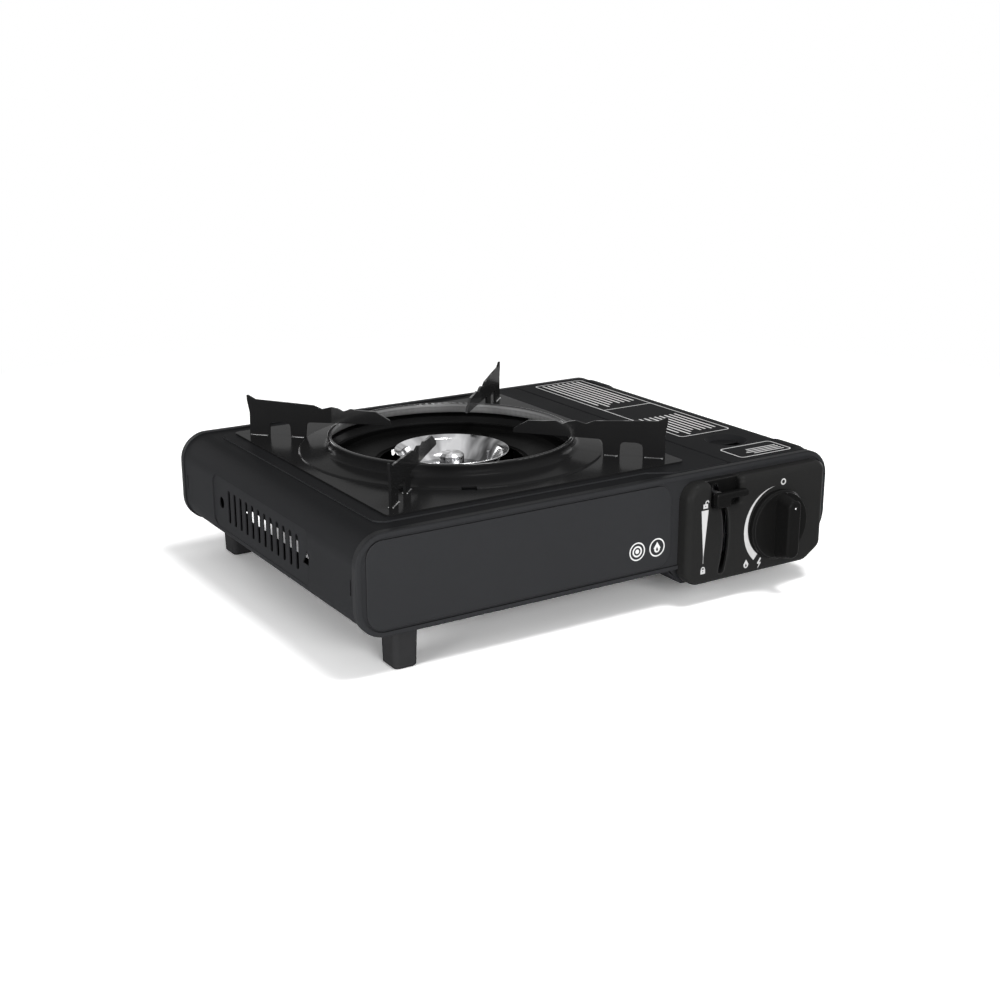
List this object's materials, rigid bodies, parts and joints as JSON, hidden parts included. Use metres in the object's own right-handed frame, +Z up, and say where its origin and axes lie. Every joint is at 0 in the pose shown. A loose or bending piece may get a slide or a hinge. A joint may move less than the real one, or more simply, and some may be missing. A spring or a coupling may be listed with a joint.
{
  "type": "butane cassette stove",
  "caption": "Portable single-burner cassette stove: folded sheet body, hinged cartridge-bay lid, lift-off pan support, valve knob and cartridge lock lever.",
  "frame": {"origin": "on the ground under the middle of the whole stove, knob included", "axes": "+X along the front to the right, +Y from the front to the back, +Z up"},
  "size_m": [0.34, 0.28, 0.1116],
  "materials": {
    "body_paint": "satin, near-black charcoal paint",
    "bare_steel": "plain zinc-plated sheet",
    "panel_plastic": "fine matt moulding",
    "enamel": "glossy black enamel",
    "polished_steel": "polished",
    "cast_alloy": "cast",
    "brass": "turned",
    "tube_steel": "drawn tube",
    "dark_plastic": "moulded",
    "foot_rubber": "matt",
    "seal_rubber": "matt",
    "lead_cover": "silicone sleeve",
    "insulator_ceramic": "glazed white",
    "screw_steel": "plated"
  },
  "bodies": {
    "stove": {"body_wrap": "body_paint", "front_panel": "body_paint", "back_panel": "body_paint", "base_plate": "body_paint", "gas_bay_tray": "body_paint", "heat_partition": "bare_steel", "lid_hinge_rod": "polished_steel", "foot_front_left": "foot_rubber", "foot_front_right": "foot_rubber", "foot_rear_left": "foot_rubber", "foot_rear_right": "foot_rubber", "drip_pan": "enamel", "burner_bowl": "polished_steel", "burner_head": "polished_steel", "burner_housing": "cast_alloy", "mixing_tube": "tube_steel", "burner_bracket": "bare_steel", "jet_nozzle": "brass", "gas_pipe": "brass", "bay_bulkhead": "bare_steel", "collar_seat": "cast_alloy", "seat_seal": "seal_rubber", "regulator_body": "cast_alloy", "regulator_cover": "cast_alloy", "control_panel": "panel_plastic", "lever_pivot_pin": "polished_steel", "rod_guide_front": "bare_steel", "rod_guide_rear": "bare_steel", "piezo_igniter": "dark_plastic", "electrode_insulator": "insulator_ceramic", "electrode_wire": "polished_steel", "igniter_lead": "lead_cover", "cover_screws": "screw_steel", "base_screws": "screw_steel"},
    "lid": {"lid": "body_paint"},
    "pan_support": {"pan_support_plate": "enamel", "support_fin_front_left": "enamel", "support_fin_front_right": "enamel", "support_fin_rear_left": "enamel", "support_fin_rear_right": "enamel"},
    "knob": {"knob": "panel_plastic", "valve_spindle": "polished_steel"},
    "lever": {"lever_arm": "bare_steel", "lever_button": "panel_plastic", "lever_cam": "dark_plastic"},
    "pusher": {"pusher_rod": "polished_steel", "cartridge_pusher": "bare_steel"}
  },
  "joints": [
    {"name": "lid_hinge", "type": "hinge", "parent": "stove", "child": "lid", "pos_m": [0.0945, 0, 0.082], "axis": [0, -1, 0], "range_deg": [0, 100]},
    {"name": "support_lift", "type": "slide", "parent": "stove", "child": "pan_support", "axis": [0, 0, 1], "range_m": [0, 0.12]},
    {"name": "knob_turn", "type": "hinge", "parent": "stove", "child": "knob", "pos_m": [0.1214, -0.1154, 0.0434], "axis": [0, -1, 0], "range_deg": [0, 145]},
    {"name": "lever_swing", "type": "hinge", "parent": "stove", "child": "lever", "pos_m": [-0.002, -0.1154, 0.042], "axis": [0, 1, 0], "range_deg": [0, 30.5]},
    {"name": "pusher_slide", "type": "slide", "parent": "stove", "child": "pusher", "axis": [0, -1, 0], "range_m": [0, 0.00805]}
  ],
  "couplings": [
    {"joint": "pusher_slide", "follows": "lever_swing", "m_per_rad": 0.015028}
  ]
}
